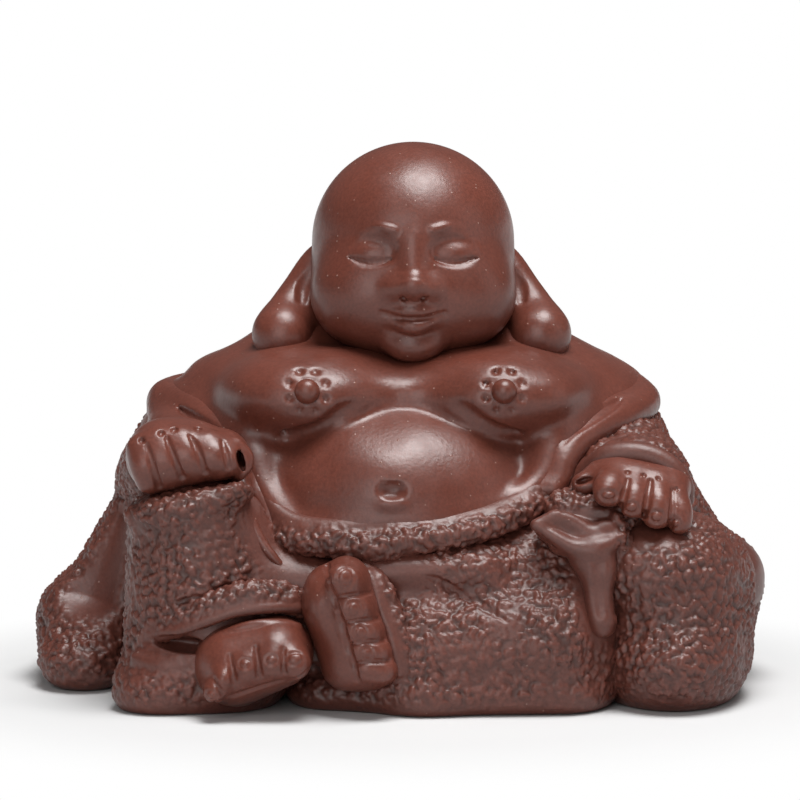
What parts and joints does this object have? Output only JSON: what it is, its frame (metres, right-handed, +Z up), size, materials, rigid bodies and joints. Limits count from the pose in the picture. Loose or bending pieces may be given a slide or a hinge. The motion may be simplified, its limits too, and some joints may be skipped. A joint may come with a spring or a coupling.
{
  "type": "tea pet figure",
  "caption": "Seated big-bellied folk figure in unglazed brown clay, one knee raised, one hand on a sack; a small ornament that stands on a tea tray.",
  "frame": {"origin": "middle of the floor slab's underside, on the table plane", "axes": "+Z up, the figure faces -Y, +X to its own left"},
  "size_m": [0.0945, 0.0669, 0.0698],
  "materials": {
    "burnished_clay": "burnished unglazed clay with fine pale sand grains",
    "stippled_clay": "stippled unglazed clay",
    "slab_clay": "scraped unglazed clay"
  },
  "bodies": {
    "root": {"head_front": "burnished_clay", "head_back": "burnished_clay", "right_ear": "burnished_clay", "left_ear": "burnished_clay", "torso_front": "burnished_clay", "torso_back": "burnished_clay", "right_nipple": "burnished_clay", "left_nipple": "burnished_clay", "right_hand": "burnished_clay", "left_hand": "burnished_clay", "right_foot": "burnished_clay", "left_foot": "burnished_clay", "waistband": "stippled_clay", "right_lapel": "stippled_clay", "left_lapel": "stippled_clay", "right_leg": "stippled_clay", "left_leg": "stippled_clay", "right_trouser_cuff": "stippled_clay", "left_trouser_cuff": "stippled_clay", "right_sleeve": "stippled_clay", "left_sleeve": "stippled_clay", "right_sleeve_drape": "stippled_clay", "left_sleeve_drape": "stippled_clay", "robe_back": "stippled_clay", "sack": "stippled_clay", "sack_neck": "stippled_clay", "base_slab": "slab_clay"}
  },
  "joints": []
}
